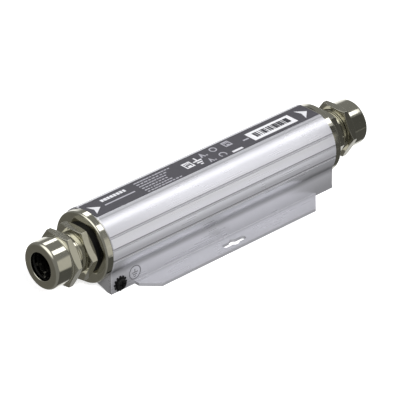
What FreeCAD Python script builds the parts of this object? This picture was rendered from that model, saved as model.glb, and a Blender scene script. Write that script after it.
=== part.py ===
import FreeCAD, Part
import math
import os

# In-line surge protector for a network cable, in millimetres.
# X runs along the barrel, Z is up, and the flange with the earth screw faces -Y.
# The origin is the middle of the base, on the surface that the base stands on.

Vector = FreeCAD.Vector

# Extruded aluminium housing
housing_length = 175.0
bore_radius = 19.0
bore_floor = 5.2
barrel_wall = 3.0
barrel_lift = 0.3
top_flat_cut = 1.7
wall_half_width = 19.2
shoulder_fillet = 2.0
saddle_radius = 38.0
saddle_rise = 3.0
end_chamfer = 0.4
flute_angles = (59.0, 77.8, 96.0)
flute_radius = 0.85
flute_depth = 0.6

# Mounting flanges
flange_reach = 12.8
flange_thickness = 1.9
flange_edge_length = 121.5
flange_root_fillet = 0.3
terminal_side_clear = 17.5
keyhole_head_radius = 3.0
keyhole_slot_radius = 1.75
keyhole_length = 17.5
keyhole_from_edge = 5.4

# Labels on the flat top
label_width = 15.6
label_thickness = 0.3
label_recess_depth = 0.15
label_end_gap = 0.6
label_side_gap = 0.05
sticker_length = 34.5
sticker_width = 9.4
sticker_thickness = 0.1
sticker_from_end = 32.7
sticker_centre_y = -0.6

# Card guides and floor pad inside the bore
guide_lap = 1.4
guide_thickness = 2.0
guide_clearance = 0.1
pad_half_width = 4.0
pad_rise = 2.8

# Nickel-plated brass end caps
cap_inset = 0.6
cap_thickness = 4.8
cap_edge_round = 1.2
cap_web = 3.0
spigot_length = 9.0
spigot_wall = 3.4
spigot_clearance = 0.05
spigot_past_guides = 1.0
cap_seal_section = 1.5
cap_seal_clearance = 0.03
cap_seal_setback = 4.2

# Cable glands with a 25 mm thread
gland_across_flats = 30.0
entry_thread_radius = 12.45
entry_thread_clearance = 0.05
entry_thread_past_web = 1.0
entry_wall = 3.45
gasket_thickness = 2.2
gasket_inset = 0.1
gasket_clearance = 0.1
body_hex_length = 5.4
body_hex_turn = 32.0
hex_corner_cut = 1.0
hex_corner_drop = 2.2
clamp_thread_radius = 12.42
clamp_thread_length = 13.4
clamp_wall = 1.42
clamp_pocket_floor = 1.4

# Clamping insert and rubber ring inside each gland
claw_clearance = 0.06
claw_wall = 1.25
claw_flange_inset = 0.27
claw_flange_thickness = 1.0
claw_tip_inset = 0.14
claw_tip_wall = 1.5
claw_length = 1.5
claw_count = 12
claw_slot_width = 1.3
grommet_clearance = 0.05
grommet_bore_radius = 5.5
grommet_recess = 1.6

# Dome nuts, resting with thread still showing
nut_gap = 6.0
nut_length = 16.4
nut_hex_length = 4.6
nut_hex_turn = 31.0
nut_barrel_inset = 0.9
nut_edge_round = 2.0
nut_thread_clearance = 0.08
nut_lip = 2.0
nut_mouth_radius = 8.5
nut_cone_depth = 2.8
nut_cone_radius = 9.7
slip_ring_length = 1.2
slip_ring_wall = 1.0
slip_ring_clearance = 0.1

# Circuit board
board_edge_inset = 0.5568
board_thickness = 1.6
board_from_end = 15.5
port_height_on_board = 6.35

# Shielded network jacks
jack_width = 15.8
jack_height = 13.0
jack_depth = 21.0
jack_overhang = 1.5
port_width = 11.9
port_height = 8.3
port_depth = 14.0
latch_width = 6.3
latch_height = 1.6
shield_thickness = 0.3
contact_count = 8
contact_pitch = 1.02
contact_width = 0.45
contact_thickness = 0.35
contact_clearance = 0.04
contact_run_height = 0.9
contact_bend_depth = 3.0
contact_tip_depth = 10.0
contact_tip_height = 5.2
contact_tail_depth = 17.6
contact_tail_length = 1.2

# Parts soldered on the board
tube_radius = 4.0
tube_length = 8.2
tube_band_width = 1.3
tube_band_step = 0.3
tube_pitch = 9.6
tube_from_jack = 10.5
tube_from_post = 10.0
tube_row_y = 8.2
diode_length = 4.4
diode_width = 3.6
diode_height = 2.2
diode_lead = 0.9
diode_lead_thickness = 0.25
choke_length = 12.0
choke_width = 9.0
choke_height = 5.2
choke_edge_round = 1.0
choke_pitch = 14.0
choke_from_post = 9.0
choke_from_jack = 20.0
choke_row_y = 9.0
resistor_length = 6.2
resistor_width = 3.0
resistor_height = 0.7
resistor_count = 4
resistor_pitch = 7.4
resistor_gap = 0.9
resistor_from_edge = 4.1

# Post that bonds the board to the housing
post_across_flats = 5.5
post_hole_radius = 1.5
bond_thread_radius = 1.42
bond_hole_radius = 1.6
bond_screw_reach = 3.0
bond_head_radius = 2.8
bond_sunk_height = 1.65
bond_sunk_below = 0.2
bond_pan_height = 2.0
bond_drive_radius = 0.9
bond_drive_depth = 1.0

# Earth terminal on the front wall
terminal_from_end = 6.5
terminal_height = 5.0
terminal_thread_radius = 1.94
terminal_hole_radius = 2.0
terminal_depth = 7.6
terminal_hole_extra = 0.8
terminal_head_radius = 3.2
terminal_head_height = 1.6
terminal_head_round = 0.5
terminal_drive_width = 0.9
terminal_drive_span = 4.0
terminal_drive_depth = 1.0
washer_outer_radius = 4.7
washer_root_radius = 3.7
washer_hole_radius = 2.15
washer_thickness = 0.7
washer_teeth = 12

# Engraved earth symbol beside the terminal
symbol_from_end = 17.7
symbol_height = 7.4
symbol_radius = 4.5
symbol_line = 0.7
symbol_depth = 0.3
symbol_bar_lengths = (4.6, 3.0, 1.4)
symbol_bar_step = 1.3

# Places that follow from the sizes above
half_length = housing_length / 2
barrel_radius = bore_radius + barrel_wall
axis_height = bore_floor + bore_radius
barrel_height = axis_height + barrel_lift
top_flat_height = barrel_height + barrel_radius - top_flat_cut
flange_half_width = wall_half_width + flange_reach
cap_radius = barrel_radius - cap_inset
cap_face = half_length + cap_thickness
cap_inner_face = half_length - cap_web
spigot_end = half_length - spigot_length
gasket_outer_radius = gland_across_flats / 2 - gasket_inset
entry_bore_radius = entry_thread_radius - entry_wall
clamp_pocket_radius = clamp_thread_radius - clamp_wall
claw_outer_radius = clamp_pocket_radius - claw_clearance
claw_flange_radius = clamp_thread_radius - claw_flange_inset
claw_tip_radius = claw_outer_radius - claw_tip_inset
nut_barrel_radius = gland_across_flats / 2 - nut_barrel_inset
hex_start = cap_face + gasket_thickness
hex_end = hex_start + body_hex_length
thread_end = hex_end + clamp_thread_length
claw_start = thread_end + claw_flange_thickness
claw_end = claw_start + claw_length
nut_start = hex_end + nut_gap
nut_end = nut_start + nut_length
nut_lip_start = nut_end - nut_lip
board_top = axis_height - port_height_on_board
board_bottom = board_top - board_thickness
board_half_width = math.sqrt(bore_radius ** 2 - (axis_height - board_bottom) ** 2) - board_edge_inset
board_half_length = half_length - board_from_end
guide_reach = board_half_width - guide_lap
pad_height = bore_floor + pad_rise
jack_face = board_half_length + jack_overhang
jack_back = jack_face - jack_depth
tube_first_x = tube_from_jack - jack_back
tube_count = 1 + int((-tube_from_post - tube_first_x) / tube_pitch)
choke_count = 1 + int((jack_back - choke_from_jack - choke_from_post) / choke_pitch)
choke_end = choke_from_post + choke_pitch * (choke_count - 1) + choke_length / 2
resistor_first_x = choke_end + resistor_gap + resistor_length / 2
resistor_row_y = board_half_width - resistor_from_edge
label_floor = top_flat_height - label_recess_depth
label_top = label_floor + label_thickness
sticker_centre_x = half_length - sticker_from_end
terminal_x = -half_length + terminal_from_end
symbol_x = -half_length + symbol_from_end
X_AXIS = Vector(1, 0, 0)
Y_AXIS = Vector(0, 1, 0)
Z_AXIS = Vector(0, 0, 1)
margin = 1.0
tolerance = 0.01


def box(x0, x1, y0, y1, z0, z1):
    """Block between two opposite corners."""
    return Part.makeBox(x1 - x0, y1 - y0, z1 - z0, Vector(x0, y0, z0))


def rod(radius, x0, x1, y=0.0, z=axis_height):
    """Cylinder along X between two stations."""
    return Part.makeCylinder(radius, x1 - x0, Vector(x0, y, z), X_AXIS)


def post(radius, z0, z1, x=0.0, y=0.0):
    """Upright cylinder between two heights."""
    return Part.makeCylinder(radius, z1 - z0, Vector(x, y, z0), Z_AXIS)


def ring(outer, inner, x0, x1):
    """Plain ring on the barrel's axis."""
    return rod(outer, x0, x1).cut(rod(inner, x0 - margin, x1 + margin))


def cone(radius_0, radius_1, x0, x1):
    """Cone on the barrel's axis."""
    return Part.makeCone(radius_0, radius_1, x1 - x0, Vector(x0, 0, axis_height), X_AXIS)


def prism(points, direction):
    """Solid swept from a closed outline."""
    return Part.Face(Part.makePolygon(points + points[:1])).extrude(direction)


def to_left(shape):
    """The same piece turned about the vertical, for the other end."""
    copy = shape.copy()
    copy.rotate(Vector(0, 0, 0), Z_AXIS, 180)
    return copy


def to_back(shape):
    """Mirror copy on the +Y side."""
    return shape.mirror(Vector(0, 0, 0), Y_AXIS)


def edges_at(shape, axis, place):
    """Edges that lie wholly at one station of an axis, without the seams that cross it."""
    return [edge for edge in shape.Edges if abs(getattr(edge.CenterOfMass, axis) - place) < tolerance]


def write(name, shape):
    """One STEP file for each node."""
    solids = shape.Solids
    single = solids[0] if len(solids) == 1 else Part.makeCompound(solids)
    single.exportStep(os.path.join("parts", name + ".step"))


def around_top(radius, degrees):
    """Y and Z of a point by its angle from the top towards -Y, about a centre at height zero."""
    angle = math.radians(degrees)
    return -radius * math.sin(angle), radius * math.cos(angle)


def hexagon(x0, x1, turn):
    """Hexagonal bar on the axis, with one corner at the turn angle from the top."""
    radius = gland_across_flats / math.sqrt(3)
    corners = []
    for index in range(6):
        y, z = around_top(radius, turn + 60 * index)
        corners.append(Vector(x0, y, axis_height + z))
    return prism(corners, Vector(x1 - x0, 0, 0))


def spanner_hexagon(x0, x1, turn):
    """Hexagon with its corners turned down at both ends."""
    tip = gland_across_flats / math.sqrt(3)
    low = tip - hex_corner_drop
    blank = rod(tip, x0 + hex_corner_cut, x1 - hex_corner_cut)
    blank = blank.fuse([cone(low, tip, x0, x0 + hex_corner_cut), cone(tip, low, x1 - hex_corner_cut, x1)])
    return hexagon(x0, x1, turn).common(blank)


def section_point(y, z):
    """Point of the housing's section, at its left end."""
    return Vector(-half_length, y, z)


def section_arc(start, centre, radius, degrees, end):
    """Arc of the section that passes through the point at an angle from +Y towards +Z."""
    angle = math.radians(degrees)
    middle = section_point(centre[0] + radius * math.cos(angle), centre[1] + radius * math.sin(angle))
    return Part.Arc(start, middle, end).toShape()


def section_side():
    """Edges of the +Y side, from the saddle's foot up to the flat top."""
    saddle_foot = math.sqrt(saddle_radius ** 2 - (saddle_radius - saddle_rise) ** 2)
    flat_half = math.sqrt(barrel_radius ** 2 - (top_flat_height - barrel_height) ** 2)
    fillet_y = wall_half_width + shoulder_fillet
    fillet_drop = math.sqrt((barrel_radius + shoulder_fillet) ** 2 - fillet_y ** 2)
    share = barrel_radius / (barrel_radius + shoulder_fillet)
    foot = section_point(saddle_foot, 0)
    low = section_point(flange_half_width, 0)
    high = section_point(flange_half_width, flange_thickness)
    root = section_point(wall_half_width + flange_root_fillet, flange_thickness)
    wall_low = section_point(wall_half_width, flange_thickness + flange_root_fillet)
    wall_high = section_point(wall_half_width, barrel_height - fillet_drop)
    shoulder = section_point(fillet_y * share, barrel_height - fillet_drop * share)
    flat = section_point(flat_half, top_flat_height)
    shoulder_angle = -math.degrees(math.atan2(fillet_drop, fillet_y))
    flat_angle = math.degrees(math.atan2(top_flat_height - barrel_height, flat_half))
    root_centre = (wall_half_width + flange_root_fillet, flange_thickness + flange_root_fillet)
    straight = [(foot, low), (low, high), (high, root), (wall_low, wall_high)]
    edges = [Part.LineSegment(a, b).toShape() for a, b in straight]
    edges.append(section_arc(root, root_centre, flange_root_fillet, 225, wall_low))
    edges.append(section_arc(wall_high, (fillet_y, barrel_height - fillet_drop), shoulder_fillet,
                             180 + shoulder_angle / 2, shoulder))
    edges.append(section_arc(shoulder, (0, barrel_height), barrel_radius,
                             (shoulder_angle + flat_angle) / 2, flat))
    return edges, foot, flat


def extrusion():
    """Outer form of the housing, before the bore and the machining."""
    edges, foot, flat = section_side()
    other = [to_back(edge) for edge in edges]
    top = Part.LineSegment(section_point(-flat.y, flat.z), flat).toShape()
    crown = section_point(0, saddle_rise)
    saddle = Part.Arc(section_point(-foot.y, 0), crown, foot).toShape()
    outline = Part.Wire(Part.__sortEdges__(edges + other + [top, saddle]))
    body = Part.Face(outline).extrude(Vector(housing_length, 0, 0))
    return chamfered_ends(body)


def chamfered_ends(body):
    """Break the sharp edges of the barrel at both sawn ends."""
    ends = edges_at(body, "x", half_length) + edges_at(body, "x", -half_length)
    edges = [edge for edge in ends if edge.CenterOfMass.z > flange_thickness]
    return body.makeChamfer(end_chamfer, edges)


def flutes():
    """Rounded grooves that run along both sides of the barrel."""
    rods = []
    for angle in flute_angles:
        y, z = around_top(barrel_radius + flute_radius - flute_depth, angle)
        groove = rod(flute_radius, -half_length - margin, half_length + margin, y, barrel_height + z)
        rods += [groove, to_back(groove)]
    return rods


def bore_space():
    """Hollow of the extrusion: the bore less its card guides and floor pad."""
    hollow = rod(bore_radius, -half_length - margin, half_length + margin)
    low = board_bottom - guide_clearance
    high = board_top + guide_clearance
    guide = box(-half_length, half_length, guide_reach, bore_radius + margin,
                low - guide_thickness, high + guide_thickness)
    slot_floor = board_half_width + guide_clearance
    slot = box(-half_length, half_length, guide_reach - margin, slot_floor, low, high)
    guide = guide.cut(slot)
    pad = box(-half_length, half_length, -pad_half_width, pad_half_width,
              axis_height - bore_radius - margin, pad_height)
    hollow = hollow.cut([guide, to_back(guide), pad])
    reach = spigot_end - spigot_past_guides
    turned = [rod(bore_radius, reach, half_length + margin), rod(bore_radius, -half_length - margin, -reach)]
    return hollow.fuse(turned).removeSplitter()


def flange_trim():
    """Corners milled off the front flange. The back flange has the same ones."""
    edge = flange_edge_length / 2
    inner = -wall_half_width
    outer = -flange_half_width
    far = half_length + margin
    over = outer - margin
    terminal_end = -half_length + terminal_side_clear
    root_top = flange_thickness + flange_root_fillet
    outline = [(edge, over), (edge, outer), (edge + flange_reach, inner), (far, inner), (far, over)]
    corners = []
    for side in (-1, 1):
        points = [Vector(side * x, y, -margin) for x, y in outline]
        corners.append(prism(points, Vector(0, 0, root_top + margin)))
    return corners + [box(-far, terminal_end, over, inner, -margin, root_top)]


def keyhole():
    """Double-ended keyhole in the middle of the front flange."""
    y = keyhole_from_edge - flange_half_width
    reach = keyhole_length / 2 - keyhole_slot_radius
    low, high = -margin, flange_thickness + margin
    parts = [post(keyhole_slot_radius, low, high, side * reach, y) for side in (-1, 1)]
    parts.append(box(-reach, reach, y - keyhole_slot_radius, y + keyhole_slot_radius, low, high))
    return post(keyhole_head_radius, low, high, 0, y).fuse(parts).removeSplitter()


def terminal_hole():
    """Tapped hole for the earth screw, in the solid foot below the bore."""
    start = Vector(terminal_x, -wall_half_width - margin, terminal_height)
    depth = margin + terminal_depth + terminal_hole_extra
    return Part.makeCylinder(terminal_hole_radius, depth, start, Y_AXIS)


def symbol_bar(half_width, z0, z1):
    """One stroke of the engraved symbol."""
    face = -wall_half_width
    return box(symbol_x - half_width, symbol_x + half_width, face - margin, face + symbol_depth, z0, z1)


def earth_symbol():
    """Earth sign in a ring, engraved beside the terminal."""
    start = Vector(symbol_x, -wall_half_width - margin, symbol_height)
    depth = margin + symbol_depth
    outer = Part.makeCylinder(symbol_radius, depth, start, Y_AXIS)
    outline = outer.cut(Part.makeCylinder(symbol_radius - symbol_line, depth, start, Y_AXIS))
    stem_top = symbol_height + symbol_bar_lengths[0] / 2
    strokes = [outline, symbol_bar(symbol_line / 2, symbol_height, stem_top)]
    for index, length in enumerate(symbol_bar_lengths):
        z = symbol_height - index * symbol_bar_step
        strokes.append(symbol_bar(length / 2, z - symbol_line / 2, z + symbol_line / 2))
    return strokes


def floor_screw_hole():
    """Countersunk hole through the saddle and the floor pad."""
    head_low = saddle_rise + bond_sunk_below
    head_high = head_low + bond_sunk_height
    sink = Part.makeCone(bond_head_radius + guide_clearance, bond_hole_radius, bond_sunk_height,
                         Vector(0, 0, head_low), Z_AXIS)
    mouth = post(bond_head_radius + guide_clearance, saddle_rise - margin, head_low)
    return mouth.fuse([sink, post(bond_hole_radius, head_high, pad_height + margin)])


def label_recess():
    """Shallow bed for the rating label, open at both ends."""
    half = label_width / 2 + label_side_gap
    far = half_length + margin
    return box(-far, far, -half, half, label_floor, top_flat_height + margin)


def housing():
    """Fluted aluminium extrusion with its flanges and machining."""
    body = extrusion().cut(flutes())
    trims = flange_trim() + [keyhole()]
    body = body.cut(trims + [to_back(trim) for trim in trims])
    body = body.cut(bore_space())
    return body.cut([terminal_hole(), floor_screw_hole(), label_recess()] + earth_symbol())


def rating_label():
    """Foil label in the bed on top."""
    reach = half_length - label_end_gap
    return box(-reach, reach, -label_width / 2, label_width / 2, label_floor, label_top)


def serial_sticker():
    """Paper sticker on the rating label."""
    return box(sticker_centre_x - sticker_length / 2, sticker_centre_x + sticker_length / 2,
               sticker_centre_y - sticker_width / 2, sticker_centre_y + sticker_width / 2,
               label_top, label_top + sticker_thickness)


def end_cap():
    """Round cap with a spigot for the bore and a thread for the gland."""
    disc = rod(cap_radius, half_length, cap_face)
    disc = disc.makeFillet(cap_edge_round, edges_at(disc, "x", cap_face))
    spigot = rod(bore_radius - spigot_clearance, spigot_end, half_length)
    hollow = rod(bore_radius - spigot_wall, spigot_end - margin, cap_inner_face)
    thread = rod(entry_thread_radius + entry_thread_clearance, cap_inner_face - margin, cap_face + margin)
    outer = bore_radius - cap_seal_clearance
    root = outer - cap_seal_section - cap_seal_clearance
    middle = half_length - cap_seal_setback
    half = cap_seal_section / 2 + cap_seal_clearance
    groove = ring(bore_radius + margin, root, middle - half, middle + half)
    return disc.fuse(spigot).cut([hollow, thread, groove])


def cap_seal():
    """Rubber ring in the groove of the spigot."""
    section = cap_seal_section / 2
    major = bore_radius - cap_seal_clearance - section
    return Part.makeTorus(major, section, Vector(half_length - cap_seal_setback, 0, axis_height), X_AXIS)


def gland_gasket():
    """Flat ring between the cap and the gland."""
    return ring(gasket_outer_radius, entry_thread_radius + gasket_clearance, cap_face, hex_start)


def gland_body():
    """Gland body: entry thread, spanner hexagon and clamping thread."""
    start = cap_inner_face - entry_thread_past_web
    shape = rod(entry_thread_radius, start, hex_start)
    shape = shape.fuse([spanner_hexagon(hex_start, hex_end, body_hex_turn),
                        rod(clamp_thread_radius, hex_end, thread_end)])
    pocket = rod(clamp_pocket_radius, hex_start + clamp_pocket_floor, thread_end + margin)
    return shape.cut([rod(entry_bore_radius, start - margin, hex_end), pocket]).removeSplitter()


def gland_claws():
    """Plastic clamping insert with a ring of short claws."""
    inner = claw_outer_radius - claw_wall
    sleeve = ring(claw_outer_radius, inner, hex_start + clamp_pocket_floor, thread_end)
    flange = ring(claw_flange_radius, inner, thread_end, claw_start)
    tips = ring(claw_tip_radius, claw_tip_radius - claw_tip_wall, claw_start, claw_end)
    slots = []
    for index in range(claw_count):
        slot = box(claw_start, claw_end + margin, -claw_slot_width / 2, claw_slot_width / 2,
                   axis_height, axis_height + claw_tip_radius + margin)
        slot.rotate(Vector(0, 0, axis_height), X_AXIS, 360 / claw_count * index)
        slots.append(slot)
    return sleeve.fuse([flange, tips.cut(slots)]).removeSplitter()


def grommet():
    """Rubber ring that grips the cable."""
    outer = min(claw_outer_radius - claw_wall, claw_tip_radius - claw_tip_wall) - grommet_clearance
    return ring(outer, grommet_bore_radius, hex_start + clamp_pocket_floor, claw_end - grommet_recess)


def nut_hollow():
    """Inside of the dome nut: thread, cone and mouth."""
    thread = clamp_thread_radius + nut_thread_clearance
    cone_start = nut_lip_start - nut_cone_depth
    return [rod(thread, nut_start - margin, cone_start),
            cone(thread, nut_cone_radius, cone_start, nut_lip_start),
            rod(nut_mouth_radius, nut_lip_start - margin, nut_end + margin)]


def dome_nut():
    """Clamping nut: short hexagon behind a round barrel with a rounded nose."""
    barrel = rod(nut_barrel_radius, nut_start, nut_end)
    barrel = barrel.makeFillet(nut_edge_round, edges_at(barrel, "x", nut_end))
    shape = barrel.fuse(spanner_hexagon(nut_start, nut_start + nut_hex_length, nut_hex_turn))
    return shape.cut(nut_hollow()).removeSplitter()


def slip_ring():
    """Washer that lets the nut turn on the claws."""
    outer = nut_cone_radius - slip_ring_clearance
    return ring(outer, outer - slip_ring_wall, nut_lip_start - slip_ring_length, nut_lip_start)


def contact_offsets():
    """Y of each spring contact of a jack."""
    middle = (contact_count - 1) / 2
    return [contact_pitch * (index - middle) for index in range(contact_count)]


def circuit_board():
    """Board that slides in the card guides, with its holes."""
    plate = box(-board_half_length, board_half_length, -board_half_width, board_half_width,
                board_bottom, board_top)
    tail_x = jack_face - contact_tail_depth
    holes = [post(bond_hole_radius, board_bottom - margin, board_top + margin)]
    for y in contact_offsets():
        hole = post(contact_width, board_bottom - margin, board_top + margin, tail_x, y)
        holes += [hole, to_left(hole)]
    return plate.cut(holes)


def jack_body():
    """Plastic body of a jack, open towards its gland."""
    block = box(jack_back, jack_face, -jack_width / 2, jack_width / 2, board_top, board_top + jack_height)
    floor = axis_height - port_height / 2
    port = box(jack_face - port_depth, jack_face + margin, -port_width / 2, port_width / 2,
               floor, floor + port_height)
    latch = box(jack_face - port_depth, jack_face + margin, -latch_width / 2, latch_width / 2,
                floor + port_height - margin, floor + port_height + latch_height)
    half = contact_width / 2 + contact_clearance
    run_top = board_top + contact_run_height + contact_thickness + contact_clearance
    tail = jack_face - contact_tail_depth - contact_thickness / 2 - contact_clearance
    bend = jack_face - contact_bend_depth + contact_clearance
    slots = []
    for y in contact_offsets():
        slots.append(box(tail, bend, y - half, y + half, board_top - margin, run_top))
        slots.append(box(jack_face - port_depth, bend, y - half, y + half,
                         board_top - margin, floor + margin))
    return block.cut([port, latch] + slots).removeSplitter()


def jack_shield():
    """Folded tin-plated cover: top, two sides and back."""
    side = jack_width / 2
    top = board_top + jack_height
    outer = box(jack_back - shield_thickness, jack_face, -side - shield_thickness, side + shield_thickness,
                board_top, top + shield_thickness)
    return outer.cut(box(jack_back, jack_face + margin, -side, side, board_top - margin, top))


def contact(y):
    """One spring contact with its solder tail."""
    half_thickness = contact_thickness / 2
    tail = jack_face - contact_tail_depth
    bend = jack_face - contact_bend_depth
    tip = jack_face - contact_tip_depth
    low = board_top + contact_run_height
    high = low + contact_thickness
    y0, y1 = y - contact_width / 2, y + contact_width / 2
    run = box(tail - half_thickness, bend, y0, y1, low, high)
    leg = box(tail - half_thickness, tail + half_thickness, y0, y1, board_bottom - contact_tail_length, high)
    rise = board_top + contact_tip_height
    spring = prism([Vector(bend, y0, low), Vector(bend, y0, high), Vector(tip, y0, rise + contact_thickness),
                    Vector(tip, y0, rise)], Vector(0, contact_width, 0))
    return run.fuse([leg, spring]).removeSplitter()


def jack_contacts():
    """Row of spring contacts of one jack."""
    return Part.makeCompound([contact(y) for y in contact_offsets()])


def gas_tube(x, y):
    """Ceramic discharge tube with metal end bands, lying across the board."""
    z = board_top + tube_radius
    half = tube_length / 2
    core = Part.makeCylinder(tube_radius - tube_band_step, tube_length, Vector(x, y - half, z), Y_AXIS)
    bands = [Part.makeCylinder(tube_radius, tube_band_width, Vector(x, start, z), Y_AXIS)
             for start in (y - half, y - tube_band_width / 2, y + half - tube_band_width)]
    return core.fuse(bands).removeSplitter()


def gas_tubes():
    """Two rows of discharge tubes."""
    places = [(tube_first_x + tube_pitch * index, side * tube_row_y)
              for index in range(tube_count) for side in (-1, 1)]
    return Part.makeCompound([gas_tube(x, y) for x, y in places])


def diode(x):
    """Moulded suppressor diode with folded leads."""
    half = diode_width / 2
    body = box(x - diode_length / 2, x + diode_length / 2, -half, half,
               board_top + diode_lead_thickness, board_top + diode_height)
    reach = diode_length / 2 + diode_lead
    lead = box(x - reach, x + reach, -half / 2, half / 2, board_top, board_top + diode_lead_thickness)
    return body.fuse(lead).removeSplitter()


def suppressor_diodes():
    """One diode beside each pair of tubes."""
    return Part.makeCompound([diode(tube_first_x + tube_pitch * index) for index in range(tube_count)])


def choke(x, y):
    """Moulded choke with rounded upright corners."""
    block = box(x - choke_length / 2, x + choke_length / 2, y - choke_width / 2, y + choke_width / 2,
                board_top, board_top + choke_height)
    upright = [edge for edge in block.Edges
               if abs(edge.Vertexes[0].X - edge.Vertexes[1].X) < 0.01
               and abs(edge.Vertexes[0].Y - edge.Vertexes[1].Y) < 0.01]
    return block.makeFillet(choke_edge_round, upright)


def line_chokes():
    """Chokes in two rows."""
    places = [(choke_from_post + choke_pitch * index, side * choke_row_y)
              for index in range(choke_count) for side in (-1, 1)]
    return Part.makeCompound([choke(x, y) for x, y in places])


def line_resistors():
    """Flat chip resistors in two rows."""
    chips = []
    for index in range(resistor_count):
        x = resistor_first_x + resistor_pitch * index
        for side in (-1, 1):
            y = side * resistor_row_y
            chips.append(box(x - resistor_length / 2, x + resistor_length / 2, y - resistor_width / 2,
                             y + resistor_width / 2, board_top, board_top + resistor_height))
    return Part.makeCompound(chips)


def bonding_post():
    """Hexagonal brass post from the floor pad to the board."""
    radius = post_across_flats / math.sqrt(3)
    angles = [math.radians(60 * index) for index in range(6)]
    corners = [Vector(radius * math.cos(angle), radius * math.sin(angle), pad_height) for angle in angles]
    pillar = prism(corners, Vector(0, 0, board_bottom - pad_height))
    return pillar.cut(post(post_hole_radius, pad_height - margin, board_bottom + margin))


def board_screw():
    """Pan-head screw that holds the board on the post."""
    head = post(bond_head_radius, board_top, board_top + bond_pan_height)
    shank = post(bond_thread_radius, board_bottom - bond_screw_reach, board_top)
    drive_floor = board_top + bond_pan_height - bond_drive_depth
    return head.fuse(shank).cut(post(bond_drive_radius, drive_floor, board_top + bond_pan_height + margin))


def floor_screw():
    """Countersunk screw that holds the post from below."""
    low = saddle_rise + bond_sunk_below
    high = low + bond_sunk_height
    head = Part.makeCone(bond_head_radius, bond_thread_radius, bond_sunk_height, Vector(0, 0, low), Z_AXIS)
    shank = post(bond_thread_radius, high, pad_height + bond_screw_reach)
    return head.fuse(shank).cut(post(bond_drive_radius, low - margin, low + bond_drive_depth))


def ground_screw():
    """Earth screw with a low cross-recess head."""
    seat = -wall_half_width - washer_thickness
    front = seat - terminal_head_height
    head = Part.makeCylinder(terminal_head_radius, terminal_head_height,
                             Vector(terminal_x, front, terminal_height), Y_AXIS)
    head = head.makeFillet(terminal_head_round, edges_at(head, "y", front))
    shank = Part.makeCylinder(terminal_thread_radius, terminal_depth + washer_thickness,
                              Vector(terminal_x, seat, terminal_height), Y_AXIS)
    half, span = terminal_drive_width / 2, terminal_drive_span / 2
    cross = [box(terminal_x - dx, terminal_x + dx, front - margin, front + terminal_drive_depth,
                 terminal_height - dz, terminal_height + dz) for dx, dz in ((span, half), (half, span))]
    return head.fuse(shank).cut(cross).removeSplitter()


def lock_washer():
    """External-tooth lock washer under the earth screw."""
    points = []
    step = 360 / washer_teeth
    for tooth in range(washer_teeth):
        for share, radius in ((-0.32, washer_root_radius), (-0.18, washer_outer_radius),
                              (0.18, washer_outer_radius), (0.32, washer_root_radius)):
            angle = math.radians(step * (tooth + share))
            points.append(Vector(terminal_x + radius * math.sin(angle), -wall_half_width - washer_thickness,
                                 terminal_height + radius * math.cos(angle)))
    star = prism(points, Vector(0, washer_thickness, 0))
    start = Vector(terminal_x, -wall_half_width - washer_thickness - margin, terminal_height)
    return star.cut(Part.makeCylinder(washer_hole_radius, washer_thickness + 2 * margin, start, Y_AXIS))


def main():
    """Build every node and write its file."""
    os.makedirs("parts", exist_ok=True)
    paired = {
        "end_cap": end_cap(), "cap_seal": cap_seal(), "gland_gasket": gland_gasket(),
        "gland_body": gland_body(), "gland_claws": gland_claws(), "gland_grommet": grommet(),
        "dome_nut": dome_nut(), "slip_ring": slip_ring(), "jack_body": jack_body(),
        "jack_shield": jack_shield(), "jack_contacts": jack_contacts(),
    }
    single = {
        "housing": housing(), "rating_label": rating_label(), "serial_sticker": serial_sticker(),
        "circuit_board": circuit_board(), "gas_tubes": gas_tubes(), "suppressor_diodes": suppressor_diodes(),
        "line_chokes": line_chokes(), "line_resistors": line_resistors(), "bonding_post": bonding_post(),
        "board_screw": board_screw(), "floor_screw": floor_screw(), "ground_screw": ground_screw(),
        "ground_lock_washer": lock_washer(),
    }
    for name, shape in paired.items():
        write(name + "_right", shape)
        write(name + "_left", to_left(shape))
    for name, shape in single.items():
        write(name, shape)


main()
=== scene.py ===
"""Looks of an in-line surge protector for a network cable.

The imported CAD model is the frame. This script gives every node its finish, makes the
gland bodies, clamping nuts, threads and print that need finer shapes than the solids,
and sets up the camera, the floor and the lights. Sizes in the classes are millimetres.
"""

import logging  # noqa: E402
import math  # noqa: E402
from dataclasses import dataclass, field  # noqa: E402
from enum import Enum  # noqa: E402
from functools import partialmethod, reduce  # noqa: E402
from typing import Callable, Iterable, Sequence  # noqa: E402

import bmesh  # noqa: E402
import bpy  # noqa: E402
from mathutils import Matrix, Vector  # noqa: E402


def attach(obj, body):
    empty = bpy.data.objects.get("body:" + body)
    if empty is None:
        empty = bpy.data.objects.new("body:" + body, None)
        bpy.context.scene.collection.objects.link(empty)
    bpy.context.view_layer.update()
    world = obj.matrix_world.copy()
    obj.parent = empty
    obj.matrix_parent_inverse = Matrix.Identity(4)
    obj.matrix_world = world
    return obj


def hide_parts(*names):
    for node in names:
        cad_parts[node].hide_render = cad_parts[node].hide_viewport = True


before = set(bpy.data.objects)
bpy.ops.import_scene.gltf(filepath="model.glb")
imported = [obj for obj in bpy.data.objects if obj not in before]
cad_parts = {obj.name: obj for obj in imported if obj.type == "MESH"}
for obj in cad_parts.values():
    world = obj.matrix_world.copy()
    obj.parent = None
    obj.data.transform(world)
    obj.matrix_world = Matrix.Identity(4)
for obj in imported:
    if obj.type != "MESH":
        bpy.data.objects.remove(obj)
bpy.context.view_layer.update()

log = logging.getLogger("surge_protector")

MM = 0.001
INK_MM = 0.02
INK_GAP_MM = 0.01
Tree = bpy.types.NodeTree
Piece = bpy.types.Object
Shell = bmesh.types.BMesh
Point = tuple[float, float]
Triple = tuple[float, float, float]
Colour = tuple[float, float, float, float]
Row = Callable[[float], Point]
Outline = Sequence[Point]


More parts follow.
